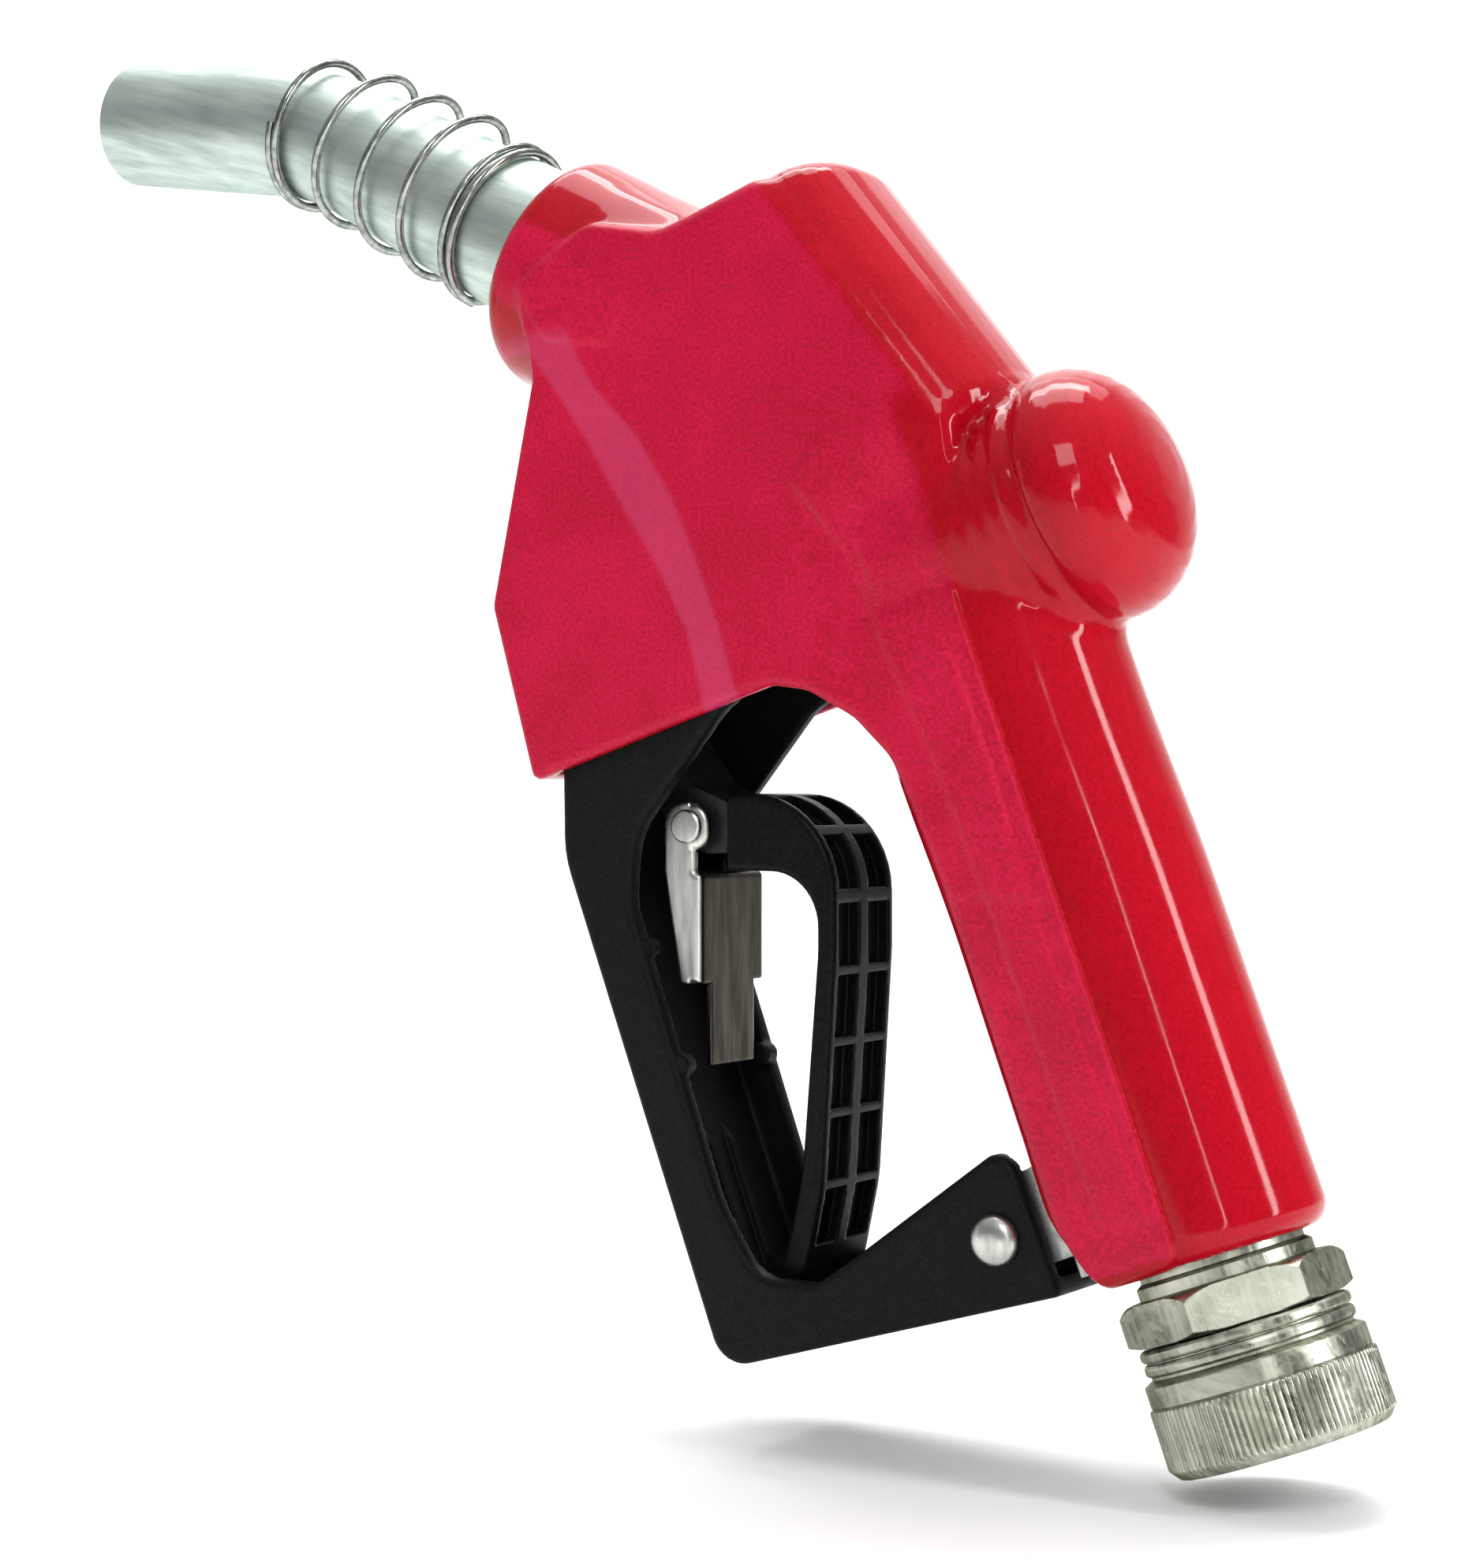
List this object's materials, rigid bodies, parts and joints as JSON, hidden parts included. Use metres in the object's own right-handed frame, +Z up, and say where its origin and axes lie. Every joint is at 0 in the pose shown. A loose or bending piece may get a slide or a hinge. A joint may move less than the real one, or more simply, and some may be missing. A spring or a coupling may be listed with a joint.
{
  "type": "automatic fuel nozzle",
  "caption": "Automatic shut-off fuel nozzle with a bent spout and anchor spring, lever with hold-open clip inside a guard, soft body cover and a swivelling hose collar.",
  "frame": {"origin": "centre of the hose inlet's end face, on the swivel's axis", "axes": "+Z up as the nozzle is held, +X away from the spout towards the grip's back, +Y across, towards the nozzle's right-hand side seen from behind the grip; XZ is its plane of symmetry"},
  "size_m": [0.2652, 0.044, 0.2567],
  "materials": {
    "red_vinyl": "soft glossy vinyl, red",
    "black_plastic": "fine-grained black moulding",
    "gloss_black": "glossy black moulding",
    "cast_aluminium": "as cast, machined where bored",
    "aluminium_tube": "drawn tube, lightly streaked",
    "spring_steel": "bright wire",
    "zinc_steel": "bright zinc plate",
    "nickel_brass": "nickel-plated, machined",
    "brass": "machined",
    "rubber": "moulded"
  },
  "bodies": {
    "body": {"anchor_spring": "spring_steel", "body_casting": "cast_aluminium", "cap_o_ring": "rubber", "cap_screw_1": "zinc_steel", "cap_screw_2": "zinc_steel", "cap_screw_3": "zinc_steel", "cap_screw_4": "zinc_steel", "check_guide": "brass", "check_seat": "brass", "check_spring": "spring_steel", "diaphragm": "rubber", "diaphragm_cap": "cast_aluminium", "diaphragm_spring": "spring_steel", "guard_rivet": "zinc_steel", "guard_screw_far": "zinc_steel", "guard_screw_near": "zinc_steel", "inlet_strainer": "zinc_steel", "lever_guard": "black_plastic", "main_spring": "spring_steel", "main_valve_cap": "cast_aluminium", "scuff_cover": "red_vinyl", "sensing_nipple": "brass", "spout": "aluminium_tube", "spout_o_ring": "rubber", "spout_set_screw": "zinc_steel", "stem_gland_nut": "brass", "stem_packing": "rubber", "swivel_o_ring": "rubber", "swivel_stud": "nickel_brass", "trip_bush": "brass", "trip_spring": "spring_steel", "valve_seat": "nickel_brass", "vent_tube": "aluminium_tube"},
    "main_valve": {"main_stem": "zinc_steel", "poppet_disc": "brass", "poppet_seal": "rubber", "poppet_nut": "zinc_steel"},
    "latch": {"latch_pin": "zinc_steel", "diaphragm_plate": "brass"},
    "trip": {"trip_stem": "zinc_steel"},
    "lever": {"lever_arm": "zinc_steel", "lever_grip": "gloss_black", "lever_pin": "zinc_steel", "clip_pin": "zinc_steel"},
    "clip": {"hold_open_clip": "zinc_steel"},
    "check_valve": {"check_poppet": "brass"},
    "swivel": {"swivel_collar": "nickel_brass", "swivel_retaining_ring": "spring_steel", "hose_washer": "rubber"}
  },
  "joints": [
    {"name": "trip_slide", "type": "slide", "parent": "body", "child": "trip", "axis": [-0.7771, 0, -0.6293], "range_m": [0, 0.0055], "stiffness_N_per_m": 400, "springref_m": -0.01, "deforming": ["trip_spring"]},
    {"name": "lever_hinge", "type": "hinge", "parent": "trip", "child": "lever", "pos_m": [-0.12792, 0, 0.13721], "axis": [0, -1, 0], "range_deg": [0, 15], "stiffness_Nm_per_rad": 0.6, "springref_deg": -11.46},
    {"name": "main_stem_slide", "type": "slide", "parent": "body", "child": "main_valve", "axis": [0.9367, 0, 0.3502], "range_m": [0, 0.005], "deforming": ["main_spring"]},
    {"name": "clip_hinge", "type": "hinge", "parent": "lever", "child": "clip", "pos_m": [-0.1064, 0, 0.0974], "axis": [0, -1, 0], "range_deg": [-6, 12]},
    {"name": "latch_slide", "type": "slide", "parent": "body", "child": "latch", "axis": [0.7771, 0, 0.6293], "range_m": [0, 0.0025], "stiffness_N_per_m": 200, "springref_m": -0.005, "deforming": ["diaphragm_spring", "diaphragm"]},
    {"name": "check_slide", "type": "slide", "parent": "body", "child": "check_valve", "axis": [-0.8862, 0, 0.4633], "range_m": [0, 0.004], "stiffness_N_per_m": 100, "springref_m": -0.005, "deforming": ["check_spring"]},
    {"name": "swivel_spin", "type": "hinge", "parent": "body", "child": "swivel", "pos_m": [0, 0, 0], "axis": [-0.3502, 0, 0.9367], "continuous": true}
  ],
  "couplings": [
    {"joint": "main_stem_slide", "follows": "lever_hinge", "m_per_rad": 0.0188}
  ]
}
